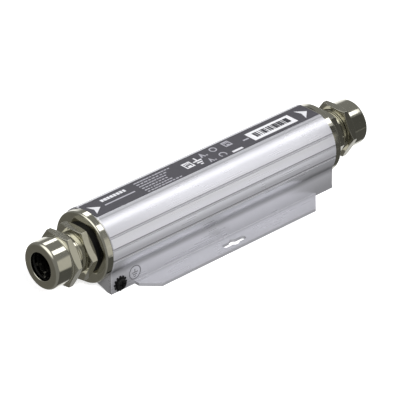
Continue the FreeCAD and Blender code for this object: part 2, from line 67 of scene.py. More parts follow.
class Side(Enum):
    """End of the barrel. The left end is the right one turned about the vertical."""

    LEFT = "left"
    RIGHT = "right"

    @property
    def matrix(self) -> Matrix:
        """Turn that carries a piece built at the right end to this end."""
        return Matrix.Rotation(math.pi if self is Side.LEFT else 0.0, 4, "Z")

    def named(self, stem: str) -> str:
        """Name of a piece at this end."""
        return f"{stem}_{self.value}"


class Seen(Enum):
    """Rays that may meet a stage piece."""

    CAMERA_AND_LIGHT = "camera and light"
    REFLECTIONS_ONLY = "reflections only"


# Nodes and colours


@dataclass(frozen=True)
class Value:
    """Output of a node, by name or number, which takes part in sums like a plain number."""

    node: bpy.types.Node
    output: int | str = 0

    @property
    def socket(self) -> bpy.types.NodeSocket:
        """The output itself."""
        return self.node.outputs[self.output]

    @property
    def tree(self) -> Tree:
        """Tree that the node stands in."""
        return self.node.id_data

    def __getitem__(self, output: int | str) -> "Value":
        """Another output of the same node."""
        return Value(self.node, output)

    def calc(self, operation: str, second: "Value | float" = 0.0) -> "Value":
        """Result of a named sum whose first number is this one."""
        return add(self.tree, "ShaderNodeMath", {0: self, 1: second}, operation=operation)

    __add__ = partialmethod(calc, "ADD")
    __sub__ = partialmethod(calc, "SUBTRACT")
    __mul__ = partialmethod(calc, "MULTIPLY")
    __truediv__ = partialmethod(calc, "DIVIDE")
    __mod__ = partialmethod(calc, "MODULO")
    __lt__ = partialmethod(calc, "LESS_THAN")
    __gt__ = partialmethod(calc, "GREATER_THAN")
    __abs__ = partialmethod(calc, "ABSOLUTE")


Input = Value | float | tuple[float, ...]


def add(tree: Tree, kind: str, inputs: dict[int | str, Input] | None = None, **settings: object) -> Value:
    """Add one node with its settings and links.

    Args:
        tree: node tree that gets the node.
        kind: Blender's name of the node.
        inputs: value or output of another node for each input, by name or number.
        settings: properties of the node.

    Returns:
        The first output of the new node.
    """
    node = tree.nodes.new(kind)
    for key, value in settings.items():
        setattr(node, key, value)
    for key, value in (inputs or {}).items():
        if isinstance(value, Value):
            tree.links.new(value.socket, node.inputs[key])
        else:
            node.inputs[key].default_value = value
    return Value(node)


def largest(*values: Value) -> Value:
    """The largest of some numbers."""
    return reduce(lambda first, second: first.calc("MAXIMUM", second), values)


def distance(first: Value, second: Value) -> Value:
    """Distance of a point from the origin by its two coordinates."""
    return (first * first + second * second).calc("SQRT")


def place_on(tree: Tree) -> tuple[Value, Value, Value]:
    """Place along X, Y and Z on the object in metres."""
    split = add(tree, "ShaderNodeSeparateXYZ", {0: add(tree, "ShaderNodeTexCoord")["Object"]})
    return split[0], split[1], split[2]


def linear(code: str) -> Colour:
    """Turn an sRGB hex colour with its hash sign into linear red, green, blue and alpha."""
    parts = [int(code[i : i + 2], 16) / 255 for i in (1, 3, 5)]
    return (*(p / 12.92 if p <= 0.04045 else ((p + 0.055) / 1.055) ** 2.4 for p in parts), 1.0)


def scaled(code: str, share: float, lift: float = 0.0, most: float = 1.0) -> Colour:
    """Linear colour times a share, plus a lift, with no part above the most."""
    return (*(min(most, share * part + lift) for part in linear(code)[:3]), 1.0)


@dataclass(frozen=True)
class Grain:
    """Noise whose grain has a real size along each axis.

    Attributes:
        x_mm: length of one grain along X.
        y_mm: its length along Y, if not the same.
        z_mm: its length along Z, if not the one along Y.
        octaves: detail of the noise.
        keep: share that each finer octave keeps.
    """

    x_mm: float
    y_mm: float | None = None
    z_mm: float | None = None
    octaves: float = 2.0
    keep: float = 0.5

    def on(self, tree: Tree) -> Value:
        """Add the noise, from 0 to 1, to a material tree.

        Args:
            tree: material tree.

        Returns:
            The noise on object coordinates.
        """
        y_mm = self.y_mm or self.x_mm
        scale = tuple(1.0 / (size * MM) for size in (self.x_mm, y_mm, self.z_mm or y_mm))
        place = add(tree, "ShaderNodeTexCoord")["Object"]
        spread = add(tree, "ShaderNodeMapping", {"Vector": place, "Scale": scale})
        noise = {"Vector": spread, "Scale": 1.0, "Detail": self.octaves, "Roughness": self.keep}
        return add(tree, "ShaderNodeTexNoise", noise)["Fac"]


def ranged(value: Value, low: float, high: float) -> Value:
    """Spread a noise, most of which lies between 0.3 and 0.7, over the range from low to high."""
    limits = {"Value": value, "From Min": 0.3, "From Max": 0.7, "To Min": low, "To Max": high}
    return add(value.tree, "ShaderNodeMapRange", limits)


def faded(value: Value, start: float, end: float, first: float = 0.0, last: float = 1.0) -> Value:
    """Smooth step from the first to the last result while the value goes from start to end."""
    limits = {"Value": value, "From Min": start, "From Max": end, "To Min": first, "To Max": last}
    return add(value.tree, "ShaderNodeMapRange", limits, interpolation_type="SMOOTHSTEP")


def blended(share: Value, first: Input, second: Input) -> Value:
    """Mix two colours by the share of the second."""
    return add(share.tree, "ShaderNodeMix", {0: share, 6: first, 7: second}, data_type="RGBA")[2]


def bumped(height: Value, depth_mm: float, **below: Value) -> Value:
    """Normal of a fine relief, over a coarser one if that is given as Normal."""
    inputs = {"Height": height, "Distance": depth_mm * MM, "Strength": 1.0, **below}
    return add(height.tree, "ShaderNodeBump", inputs)


def emptied(owner: bpy.types.Material | bpy.types.World) -> Tree:
    """Empty a node tree.

    Args:
        owner: material or world that the tree belongs to.

    Returns:
        The empty tree.
    """
    owner.use_nodes = True
    owner.node_tree.nodes.clear()
    return owner.node_tree


# Finishes


@dataclass(frozen=True)
class Finish:
    """What every finish of the object has: a fine relief, and a mottle of tone and gloss.

    Attributes:
        sheen: level of the clear reflection of a non-metal, 0.5 for most.
        tint: factor and lift that give the second tone, and its greatest share.
        gloss_swing: how far the mottle takes the roughness down and up.
    """

    name: str
    colour: str
    metallic: float
    roughness: float
    sheen: float = 0.5
    relief_grain: Grain = Grain(0.3)
    relief_depth_mm: float = 0.006
    mottle_grain: Grain = Grain(9.0, 4.0)
    tint: Triple = (1.25, 0.002, 1.0)
    gloss_swing: Point = (0.05, 0.05)

    def material(self) -> bpy.types.Material:
        """Build the material once.

        Returns:
            The material.
        """
        made = bpy.data.materials.get(self.name)
        if made is not None:
            return made
        made = bpy.data.materials.new(self.name)
        tree = emptied(made)
        values = {"Base Color": linear(self.colour), "Metallic": self.metallic, "Roughness": self.roughness}
        shader = add(tree, "ShaderNodeBsdfPrincipled", {**values, "Specular IOR Level": self.sheen})
        add(tree, "ShaderNodeOutputMaterial", {"Surface": shader})
        for name, value in self.detail(self.mottle_grain.on(tree)).items():
            tree.links.new(value.socket, shader.node.inputs[name])
        made.diffuse_color = linear(self.colour)
        return made

    def detail(self, mottle: Value) -> dict[str, Value]:
        """Fine detail of the surface.

        Args:
            mottle: noise from 0 to 1 for tone and gloss.

        Returns:
            What goes into each named input of the shader.
        """
        less, more = self.gloss_swing
        return {
            "Base Color": self.tone(mottle),
            "Roughness": ranged(mottle, self.roughness - less, self.roughness + more),
            "Normal": bumped(self.relief(mottle), self.relief_depth_mm),
        }

    def tone(self, mottle: Value) -> Value:
        """Colour of the surface, which the mottle takes to the second tone in patches."""
        factor, lift, share = self.tint
        return blended(ranged(mottle, 0.0, share), linear(self.colour), scaled(self.colour, factor, lift))

    def relief(self, mottle: Value) -> Value:
        """Height of the fine relief from 0 to 1."""
        return self.relief_grain.on(mottle.tree)


@dataclass(frozen=True)
class CornerShade:
    """Painted shade in an inner corner along X, greyest at its middle and gone at its reach.

    Attributes:
        squeeze: how much faster the grey fades outwards than upwards.
    """

    middle_mm: Point
    reach_mm: float
    # greatest share of painted shade, at the middle of the corner
    painted_shade: float
    squeeze: float = 1.0

    def share(self, out: Value, height: Value) -> Value:
        """Share of painted shade at a distance from the middle plane and a height in millimetres."""
        off = distance((out - self.middle_mm[0]) * self.squeeze, height - self.middle_mm[1])
        return faded(off, 0.0, self.reach_mm, self.painted_shade, 0.0)


@dataclass(frozen=True)
class AnodisedAluminium(Finish):
    """Extruded aluminium, etched and clear anodised, with faint die lines.

    The etch gives a soft satin sheen and the oxide layer a milky diffuse share.

    Attributes:
        lines: die lines 0.9 mm wide, because real ones are finer and wouldn't show.
        flute_shade: angle of each flute from the top and its share of painted shade.
        brow_shade: angle, half angle and share of the painted shade line beside the label's bed.
        sign_mm: place, height, radius and face of the engraved earth sign.
        shaded_hollows: painted shade in the corners under the barrel and at the foot of the saddle.
    """

    relief_grain: Grain = Grain(0.35, octaves=1.0)
    relief_depth_mm: float = 0.0016
    mottle_grain: Grain = Grain(45.0, 14.0)
    tint: Triple = (0.955, 0.0, 0.6)
    gloss_swing: Point = (0.02, 0.02)
    lines: Grain = Grain(220.0, 0.9, octaves=3.0)
    line_depth_mm: float = 0.0001
    line_share: float = 0.2
    line_gloss: float = 0.005
    # grey of the painted shade in the flutes, beside the label's bed, in the engraved earth sign and in the inner
    # corners
    painted_shade_grey: str = "#202022"
    barrel_height_mm: float = 24.5
    # painted shade in each flute
    flute_shade: tuple[Point, ...] = ((59.0, 0.36), (77.8, 0.44), (96.0, 0.55))
    flute_half_angle: float = 2.2
    flute_top_mm: float = 21.95
    # painted shade line beside the label's bed
    brow_shade: Triple = (26.5, 1.3, 0.2)
    sign_mm: tuple[float, float, float, float] = (-69.8, 7.4, 4.6, 19.15)
    # painted shade in the floor of the engraved earth sign
    sign_painted_shade: float = 0.6
    # painted shade in the corners under the barrel and at the foot of the saddle
    shaded_hollows: tuple[CornerShade, ...] = (CornerShade((19.4, 14.0), 4.4, 0.47), CornerShade((19.2, 2.1), 9.5, 0.25, 3.0))

    def painted_shade(self, tree: Tree) -> Value:
        """Painted shade: grey in the flutes, in a line beside the label's bed, in the engraved earth sign and in
        the inner corners.

        Args:
            tree: material tree.

        Returns:
            The share of painted shade grey.
        """
        x, y, z = place_on(tree)
        out, height = abs(y * (1 / MM)), z * (1 / MM)
        up = height - self.barrel_height_mm
        angle = out.calc("ARCTAN2", up) * (180 / math.pi)
        # painted shade in the flutes
        marks = [(abs(angle - middle) < self.flute_half_angle) * shade_share for middle, shade_share in self.flute_shade]
        flute_shade_share = largest(*marks) * (distance(out, up) < self.flute_top_mm)
        # painted shade line beside the label's bed
        middle, half, shade_share = self.brow_shade
        brow_shade = (abs(angle - middle) < half) * shade_share
        # painted shade in the engraving of the earth sign
        sign_x, sign_z, radius, face = self.sign_mm
        along, tall = x * (1 / MM) - sign_x, height - sign_z
        sign = (along * along + tall * tall < radius * radius) * (out < face) * self.sign_painted_shade
        return largest(flute_shade_share, brow_shade, sign, *(hollow.share(out, height) for hollow in self.shaded_hollows))

    def detail(self, mottle: Value) -> dict[str, Value]:
        """Die lines along X, etched grain, soft cloudiness of the oxide, and painted shade in the flutes, earth
        sign and corners.

        Args:
            mottle: noise from 0 to 1 for tone and gloss.

        Returns:
            What goes into each named input of the shader.
        """
        plain = super().detail(mottle)
        lines = self.lines.on(mottle.tree)
        worn = scaled(self.colour, self.tint[0])
        streak = blended(ranged(lines, 0.0, self.line_share), plain["Base Color"], worn)
        return {
            # painted shade: the flutes, the brow line, the earth sign and the inner corners go towards the dark
            # grey
            "Base Color": blended(self.painted_shade(mottle.tree), streak, linear(self.painted_shade_grey)),
            "Roughness": plain["Roughness"] + ranged(lines, -self.line_gloss, self.line_gloss),
            "Normal": bumped(lines, self.line_depth_mm, Normal=plain["Normal"]),
        }


@dataclass(frozen=True)
class PolishedNickel(Finish):
    """Nickel plate on turned brass: a warm grey mirror with faint lathe marks.

    The reflections are sharp, slightly yellow-green beside the aluminium, and a little
    duller where hands and spanners have been.
    """

    relief_depth_mm: float = 0.0012
    mottle_grain: Grain = Grain(5.0, 3.5, octaves=3.0)
    tint: Triple = (0.93, 0.0, 1.0)
    gloss_swing: Point = (0.02, 0.05)
    axis_mm: float = 24.2
    lathe_mm: float = 0.45

    def relief(self, mottle: Value) -> Value:
        """Rings about the turning axis.

        Args:
            mottle: noise of the same material.

        Returns:
            Their height from 0 to 1.
        """
        tree = mottle.tree
        x, y, z = place_on(tree)
        # turning marks of 0.45 mm, coarser than a real feed so that they show at all
        scale = 1.0 / (self.lathe_mm * MM)
        reach = distance(y, z - self.axis_mm * MM)
        rings = add(tree, "ShaderNodeCombineXYZ", {0: x * scale, 1: reach * scale})
        return add(tree, "ShaderNodeTexNoise", {"Vector": rings, "Scale": 1.0, "Detail": 1.0})["Fac"]


@dataclass(frozen=True)
class PrintedFilm(Finish):
    """Polyester label film with a matt overlaminate: flat, with a fine tooth and even print."""

    relief_grain: Grain = Grain(0.25, octaves=1.0)
    relief_depth_mm: float = 0.003
    mottle_grain: Grain = Grain(3.0, octaves=3.0)
    tint: Triple = (1.12, 0.0, 1.0)
    gloss_swing: Point = (0.04, 0.04)


@dataclass(frozen=True)
class MouldedPart(Finish):
    """Moulded plastic or rubber: the tool's fine spark texture and weak flow marks."""


@dataclass(frozen=True)
class WorkedMetal(Finish):
    """Plated, tinned or oxidised metal: rolled or turned marks and uneven plating."""

    relief_grain: Grain = Grain(4.0, 0.4)
    relief_depth_mm: float = 0.003
    mottle_grain: Grain = Grain(2.5, octaves=4.0, keep=0.65)
    gloss_swing: Point = (0.04, 0.08)
    stain: str = "#5A5A58"
    stain_share: float = 0.25

    def tone(self, mottle: Value) -> Value:
        """Stains where the plating is thin."""
        return blended(ranged(mottle, 0.0, self.stain_share), linear(self.colour), linear(self.stain))


@dataclass(frozen=True)
class SolderMask(Finish):
    """Glass-epoxy laminate under green solder mask, with copper tracks that show through."""

    relief_depth_mm: float = 0.002
    mottle_grain: Grain = Grain(0.5, octaves=1.0)
    track: str = "#2F7A45"
    track_pitch_mm: float = 1.27
    track_share: float = 0.42
    sway: Grain = Grain(14.0, 60.0, octaves=0.0)
    sway_pitches: float = 3.0
    runs: Grain = Grain(9.0, 2.5, octaves=0.0)

    def tone(self, mottle: Value) -> Value:
        """Tracks along the board as paler bands.

        Args:
            mottle: weave of the glass.

        Returns:
            The colour.
        """
        tree, pitch = mottle.tree, self.track_pitch_mm * MM
        across = place_on(tree)[1] + self.sway.on(tree) * (self.sway_pitches * pitch)
        band = (across / pitch).calc("FRACT") < self.track_share
        return blended(band * (self.runs.on(tree) > 0.5), linear(self.colour), linear(self.track))

    def relief(self, mottle: Value) -> Value:
        """The weave of the glass."""
        return mottle


@dataclass(frozen=True)
class BandedCeramic(Finish):
    """Gas discharge tubes: glazed pink-white ceramic between tinned end bands."""

    mottle_grain: Grain = Grain(0.8)
    tin: str = "#B9B9B4"
    shade: str = "#B49A92"
    first_x_mm: float = -42.0
    pitch_mm: float = 9.6
    half_mm: float = 4.1
    band_mm: float = 1.3

    def detail(self, mottle: Value) -> dict[str, Value]:
        """Tin on the last stretch of each tube, ceramic between.

        Args:
            mottle: noise from 0 to 1 for tone and gloss.

        Returns:
            What goes into each named input of the shader.
        """
        start = (self.first_x_mm - self.pitch_mm / 2 - 2 * self.pitch_mm) * MM
        local = (place_on(mottle.tree)[0] - start) % (self.pitch_mm * MM)
        metal = abs(local - self.pitch_mm / 2 * MM) > (self.half_mm - self.band_mm) * MM
        body = blended(ranged(mottle, 0.0, 0.15), linear(self.colour), linear(self.shade))
        gloss = ranged(mottle, self.roughness, self.roughness + 0.1)
        return {"Base Color": blended(metal, body, linear(self.tin)), "Metallic": metal, "Roughness": gloss}


# Clear anodised aluminium: pale, faintly blue satin
ALUMINIUM = AnodisedAluminium("satin_anodised_aluminium", "#D8D8DE", 0.5, 0.28)
# Bright nickel on brass: warm grey mirror
NICKEL = PolishedNickel("bright_nickel_plate", "#CFCDC1", 1.0, 0.08)
# Dark grey polyester film
LABEL_FILM = PrintedFilm("dark_grey_label_film", "#48474D", 0.0, 0.5)
# White screen ink, slightly grey where the film shows through
WHITE_INK = PrintedFilm("white_label_ink", "#E4E4E8", 0.0, 0.55)
# Small type is half ink and half film, so from here it looks mid grey
FINE_INK = PrintedFilm("fine_label_ink", "#B2B1B9", 0.0, 0.55)
# Coated white paper
PAPER = PrintedFilm("coated_sticker_paper", "#F0F0F4", 0.0, 0.45)
# Thermal print
DARK_INK = PrintedFilm("dark_sticker_ink", "#34343A", 0.0, 0.6)
# Nitrile rubber, matt black
RUBBER = MouldedPart("black_nitrile_rubber", "#060606", 0.0, 0.45, 0.1)
# Chemically blackened steel, oily dark sheen
BLACK_STEEL = WorkedMetal("black_oxide_steel", "#0B0B0C", 0.2, 0.4, stain="#191817")
# Dark moulded polyamide
CLAW_NYLON = MouldedPart("dark_polyamide", "#1C1C1B", 0.0, 0.25)
# Glass-epoxy board
LAMINATE = SolderMask("green_solder_mask", "#14552C", 0.0, 0.38)
# Black moulded jack
JACK_PLASTIC = MouldedPart("black_jack_polyester", "#242427", 0.0, 0.4)
# Bright tin on sheet steel
TINPLATE = WorkedMetal("tinned_sheet_steel", "#C9C9C5", 1.0, 0.25, relief_grain=Grain(5.0, 0.5))
# Gold flash on the contact springs
GOLD = WorkedMetal("gold_flashed_bronze", "#E8BE6E", 1.0, 0.2, relief_grain=Grain(1.5, 0.2), stain="#B98A4A")
# Glazed tube bodies
TUBE_CERAMIC = BandedCeramic("glazed_tube_ceramic", "#E6D6CE", 0.0, 0.22)
# Filled epoxy of diodes and chokes
EPOXY = MouldedPart("filled_black_epoxy", "#2B2B2B", 0.0, 0.6, relief_grain=Grain(0.2), relief_depth_mm=0.01)
# Glass-coated chip resistors
CHIP_GLAZE = MouldedPart("glazed_resistor_chip", "#33333A", 0.0, 0.25)
# Turned brass post, yellow with drawn marks
BRASS = WorkedMetal("turned_brass", "#DCC08A", 1.0, 0.22, relief_grain=Grain(0.4, 0.4, 3.0), stain="#8A6A38")
# Clear passivated zinc
ZINC = WorkedMetal("zinc_plated_steel", "#C6C9CF", 1.0, 0.3, relief_grain=Grain(0.5), stain="#8E9298")


# Shapes


def around(station: float, radius: float, degrees: float, axis: float) -> Vector:
    """Point in metres by its station along X, its radius, its angle from +Z to -Y and the axis."""
    turn = math.radians(degrees)
    return Vector((station, -radius * math.sin(turn), axis + radius * math.cos(turn))) * MM


def linked(name: str, data: bpy.types.ID) -> Piece:
    """Put a new object in the scene.

    Args:
        name: name of the object.
        data: mesh, camera or light that it holds.

    Returns:
        The object.
    """
    made = bpy.data.objects.new(name, data)
    bpy.context.scene.collection.objects.link(made)
    return made


def solid_of(name: str, rings: Sequence[Sequence[Vector]], side: Side) -> Piece:
    """Close a stack of rings into one shell.

    Args:
        name: name of the piece.
        rings: points of each ring, all of the same count. The last ring joins the first.
        side: end of the barrel that the piece belongs to.

    Returns:
        The piece, with its faces outwards.
    """
    shell = bmesh.new()
    grid = [[shell.verts.new(point) for point in ring] for ring in rings]
    count = len(grid[0])
    for number, ring in enumerate(grid):
        after = grid[(number + 1) % len(grid)]
        for i in range(count):
            j = (i + 1) % count
            shell.faces.new((ring[i], ring[j], after[j], after[i]))
    bmesh.ops.remove_doubles(shell, verts=shell.verts, dist=2e-6)
    bmesh.ops.dissolve_degenerate(shell, edges=shell.edges, dist=1e-6)
    return piece_of(name, shell, side)


def piece_of(name: str, shell: Shell, side: Side = Side.RIGHT) -> Piece:
    """Turn a shell into a smooth-shaded piece at its end of the barrel.

    Args:
        name: name of the piece.
        shell: closed mesh, freed here.
        side: end of the barrel that the piece belongs to.

    Returns:
        The piece.
    """
    bmesh.ops.recalc_face_normals(shell, faces=shell.faces)
    mesh = bpy.data.meshes.new(name)
    shell.to_mesh(mesh)
    shell.free()
    mesh.transform(side.matrix)
    mesh.shade_smooth()
    mesh.set_sharp_from_angle(angle=math.radians(32))
    return linked(name, mesh)


def softened(piece: Piece, width_mm: float) -> None:
    """Round the sharp edges of a piece with a bevel.

    Args:
        piece: piece to finish.
        width_mm: width of the rounded edge.
    """
    bevel = piece.modifiers.new("edge_round", "BEVEL")
    bevel.width = width_mm * MM
    bevel.segments = 2
    bevel.limit_method = "ANGLE"
    bevel.angle_limit = math.radians(30)
    bevel.harden_normals = True
    bevel.use_clamp_overlap = True


def settled(piece: Piece) -> Piece:
    """Turn a piece with live modifiers into a plain mesh.

    Args:
        piece: piece with Geometry Nodes or other modifiers.

    Returns:
        The same piece with its result as its mesh and no modifier.
    """
    graph = bpy.context.evaluated_depsgraph_get()
    graph.update()
    made = bpy.data.meshes.new_from_object(piece.evaluated_get(graph))
    old = piece.data
    piece.modifiers.clear()
    piece.data = made
    made.name = piece.name
    bpy.data.meshes.remove(old)
    return piece


def dressed(piece: Piece, finish: Finish) -> Piece:
    """Give a whole piece one finish.

    Args:
        piece: piece of any shape.
        finish: its finish.

    Returns:
        The same piece.
    """
    piece.data.materials.clear()
    piece.data.materials.append(finish.material())
    return piece


def placed(piece: Piece, body: str) -> Piece:
    """Let a piece ride on a body and report it.

    Args:
        piece: finished piece.
        body: CAD body that it moves with.

    Returns:
        The piece.
    """
    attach(piece, body)
    log.info("piece %s on %s, %d faces", piece.name, body, len(piece.data.polygons))
    return piece


def dress_node(name: str, finish: Finish) -> None:
    """Give a CAD node its finish by its material slots only.

    Args:
        name: node name.
        finish: its finish.
    """
    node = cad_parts[name]
    made = finish.material()
    if node.material_slots:
        for place in node.material_slots:
            place.link = "DATA"
            place.material = made
    else:
        node.data.materials.append(made)
    log.info("node %s dressed in %s", name, finish.name)


def inked(name: str, outlines: Iterable[Outline], height_mm: float, finish: Finish) -> Piece:
    """Print flat shapes as a thin film of ink.

    Args:
        name: name of the piece.
        outlines: corners of each shape in X and Y.
        height_mm: height of the surface that is printed on.
        finish: the ink.

    Returns:
        The piece.
    """
    shell = bmesh.new()
    for outline in outlines:
        low = [shell.verts.new(Vector((x, y, height_mm)) * MM) for x, y in outline]
        face = shell.faces.new(low)
        lifted = bmesh.ops.extrude_face_region(shell, geom=[face])
        tops = [part for part in lifted["geom"] if isinstance(part, bmesh.types.BMVert)]
        bmesh.ops.translate(shell, verts=tops, vec=Vector((0, 0, INK_MM * MM)))
    return dressed(piece_of(name, shell), finish)


# Geometry Nodes trees


def new_tree(name: str, sizes: dict[str, float]) -> tuple[Tree, Value]:
    """Start a Geometry Nodes tree with named number inputs and a material input.

    Args:
        name: name of the tree.
        sizes: name and starting value of each number input.

    Returns:
        The tree, and its group input, which gives each value by its name.
    """
    tree = bpy.data.node_groups.new(name, "GeometryNodeTree")
    face = tree.interface
    for label, value in sizes.items():
        kind = "NodeSocketInt" if isinstance(value, int) else "NodeSocketFloat"
        face.new_socket(name=label, in_out="INPUT", socket_type=kind).default_value = value
    face.new_socket(name="Material", in_out="INPUT", socket_type="NodeSocketMaterial")
    face.new_socket(name="Geometry", in_out="OUTPUT", socket_type="NodeSocketGeometry")
    return tree, add(tree, "NodeGroupInput")


def close_tree(tree: Tree, geometry: Value, material: Value) -> None:
    """End a tree in Realize Instances and Set Material.

    Args:
        tree: Geometry Nodes tree.
        geometry: what the tree has made.
        material: its material.
    """
    real = add(tree, "GeometryNodeRealizeInstances", {"Geometry": geometry})
    coated = add(tree, "GeometryNodeSetMaterial", {"Geometry": real, "Material": material})
    add(tree, "NodeGroupOutput", {"Geometry": coated})


def grown(name: str, tree: Tree, values: dict[str, float], finish: Finish) -> Piece:
    """Run a tree and keep its result as a plain mesh.

    Args:
        name: name of the piece.
        tree: Geometry Nodes tree.
        values: value of each named input.
        finish: finish of the piece.

    Returns:
        The piece.
    """
    piece = linked(name, bpy.data.meshes.new(name))
    modifier = piece.modifiers.new(tree.name, "NODES")
    modifier.node_group = tree
    wanted = {**values, "Material": finish.material()}
    for item in tree.interface.items_tree:
        if item.item_type == "SOCKET" and item.in_out == "INPUT" and item.name in wanted:
            modifier[item.identifier] = wanted[item.name]
    return settled(piece)


# Corners across one ridge of thread, and the share of the pitch from one to the next
THREAD_CORNERS = 5
THREAD_CORNER_SHARE = 0.3
THREAD_CREST_SHARE = 0.08
THREAD_FADES_PER_TURN = 3.0


def thread_tree() -> Tree:
    """Build the tree of a screw thread.

    Returns:
        Tree of a ridge that winds round X and fades out at both ends.
    """
    tree, size = new_tree(
        "screw_thread",
        {"Root Radius": 0.0, "Depth": 0.0, "Pitch": 0.0, "Start": 0.0, "Turns": 8, "Axis Height": 0.0, "Steps": 64},
    )
    counts = {"Vertices X": size["Turns"] * size["Steps"] + 1.0, "Vertices Y": THREAD_CORNERS}
    grid = add(tree, "GeometryNodeMeshGrid", {"Size X": 1.0, "Size Y": 1.0, **counts})
    index = add(tree, "GeometryNodeInputIndex")
    column = ((index + 0.5) / THREAD_CORNERS).calc("FLOOR")
    # the last corner of a column lies on its first, which closes the ridge
    corner = (index - column * THREAD_CORNERS) % (THREAD_CORNERS - 1) - 1.5
    crest = abs(corner) < 1.0
    turns = column / size["Steps"]
    ends = turns.calc("MINIMUM", size["Turns"] - turns)
    fade = (ends * THREAD_FADES_PER_TURN).calc("MINIMUM", 1.0)
    across = corner * (crest * THREAD_CREST_SHARE + THREAD_CORNER_SHARE) * fade
    station = size["Start"] + (turns + across) * size["Pitch"]
    radius = size["Root Radius"] + crest * size["Depth"] * fade
    angle = turns * (2 * math.pi)
    sideways = radius * angle.calc("SINE") * -1.0
    height = size["Axis Height"] + radius * angle.calc("COSINE")
    spot = add(tree, "ShaderNodeCombineXYZ", {0: station, 1: sideways, 2: height})
    moved = add(tree, "GeometryNodeSetPosition", {"Geometry": grid, "Position": spot})
    merged = add(tree, "GeometryNodeMergeByDistance", {"Geometry": moved, "Distance": 1e-6})
    close_tree(tree, merged, size["Material"])
    return tree


def block_row_tree() -> Tree:
    """Build the tree of a printed row.

    Returns:
        Tree of blocks of random width at an even pitch.
    """
    lengths = ("Start X", "Pitch", "Centre Y", "Base Z", "Height", "Thickness", "Narrow", "Wide")
    tree, size = new_tree("printed_row", {**dict.fromkeys(lengths, 0.0), "Count": 10, "Seed": 1})
    start = add(tree, "ShaderNodeCombineXYZ", {0: size["Start X"], 1: size["Centre Y"], 2: size["Base Z"]})
    step = add(tree, "ShaderNodeCombineXYZ", {0: size["Pitch"]})
    places = {"Count": size["Count"], "Start Location": start, "Offset": step}
    row = add(tree, "GeometryNodeMeshLine", places, mode="OFFSET")
    block = add(tree, "GeometryNodeMeshCube", {"Size": (1.0, 1.0, 1.0)})
    limits = {"Min": size["Narrow"], "Max": size["Wide"], "Seed": size["Seed"]}
    chance = add(tree, "FunctionNodeRandomValue", data_type="FLOAT")
    for socket in chance.node.inputs:
        if socket.enabled and socket.name in limits:
            tree.links.new(limits[socket.name].socket, socket)
    width = next(number for number, socket in enumerate(chance.node.outputs) if socket.enabled)
    shape = add(tree, "ShaderNodeCombineXYZ", {0: chance[width], 1: size["Height"], 2: size["Thickness"]})
    rows = add(tree, "GeometryNodeInstanceOnPoints", {"Points": row, "Instance": block, "Scale": shape})
    close_tree(tree, rows, size["Material"])
    return tree


# Print


def bar(x0: float, x1: float, y0: float, y1: float) -> list[Point]:
    """Corners of an upright rectangle of print."""
    return [(x0, y0), (x1, y0), (x1, y1), (x0, y1)]


def ring(sweep: float, steps: int = 14, outer: float = 0.5, inner: float = 0.34) -> list[Outline]:
    """Segments of a ring whose gap faces down.

    Args:
        sweep: degrees that the ring covers.
        steps: number of segments.
        outer: outer radius.
        inner: inner radius.

    Returns:
        The corners of each segment.
    """
    turns = [math.radians(90 - sweep / 2 + sweep * step / steps) for step in range(steps + 1)]
    edges = [[(radius * math.cos(turn), radius * math.sin(turn)) for radius in (inner, outer)] for turn in turns]
    return [[*first, *reversed(second)] for first, second in zip(edges, edges[1:])]


# Pictograms in a square of 1, with their middle at the origin
SOCKET_MARK = [
    bar(-0.5, 0.5, -0.5, -0.35),
    bar(-0.5, 0.5, 0.35, 0.5),
    bar(-0.5, -0.35, -0.35, 0.35),
    bar(0.35, 0.5, -0.35, 0.35),
    *(bar(x - 0.055, x + 0.055, 0.05, 0.36) for x in (-0.2, 0.0, 0.2)),
    bar(-0.2, 0.2, -0.36, -0.125),
]
EARTH_MARK = [
    bar(-0.085, 0.085, 0.0, 0.5),
    bar(-0.5, 0.5, -0.17, 0.0),
    bar(-0.33, 0.33, -0.49, -0.32),
    bar(-0.16, 0.16, -0.81, -0.64),
]
PEAK_MARK = [
    [(-0.5, -0.5), (-0.1, 0.5), (-0.1, 0.02), (-0.26, -0.5)],
    [(-0.1, 0.5), (0.3, -0.5), (0.06, -0.5), (-0.1, 0.02)],
    bar(0.4, 0.6, -0.5, -0.26),
]


Mark = tuple[list[Outline], float, float, float]


def drawn(marks: Iterable[Mark]) -> list[Outline]:
    """Pictograms, each with its middle and its size in millimetres."""
    return [[(x + size * u, y + size * v) for u, v in outline] for mark, x, y, size in marks for outline in mark]


def arrowhead(x0: float, x1: float, low: float, high: float, apex: float, notch: float = 0.28) -> list[Point]:
    """Corners of a broad arrowhead with a notch that points to +X."""
    return [(x0, low), (x1, apex), (x0, high), (x0 + notch * (x1 - x0), apex)]


# Sub-assemblies


Nodes = tuple[tuple[Finish, tuple[str, ...]], ...]


@dataclass
class Dressed:
    """Sub-assembly whose solids carry its whole shape, with the nodes of each finish."""

    nodes: Nodes = ()

    def build(self) -> None:
        """Dress every node."""
        for finish, names in self.nodes:
            for name in names:
                dress_node(name, finish)


@dataclass
class Housing(Dressed):
    """Fluted extrusion with its flanges."""

    nodes: Nodes = ((ALUMINIUM, ("housing",)),)


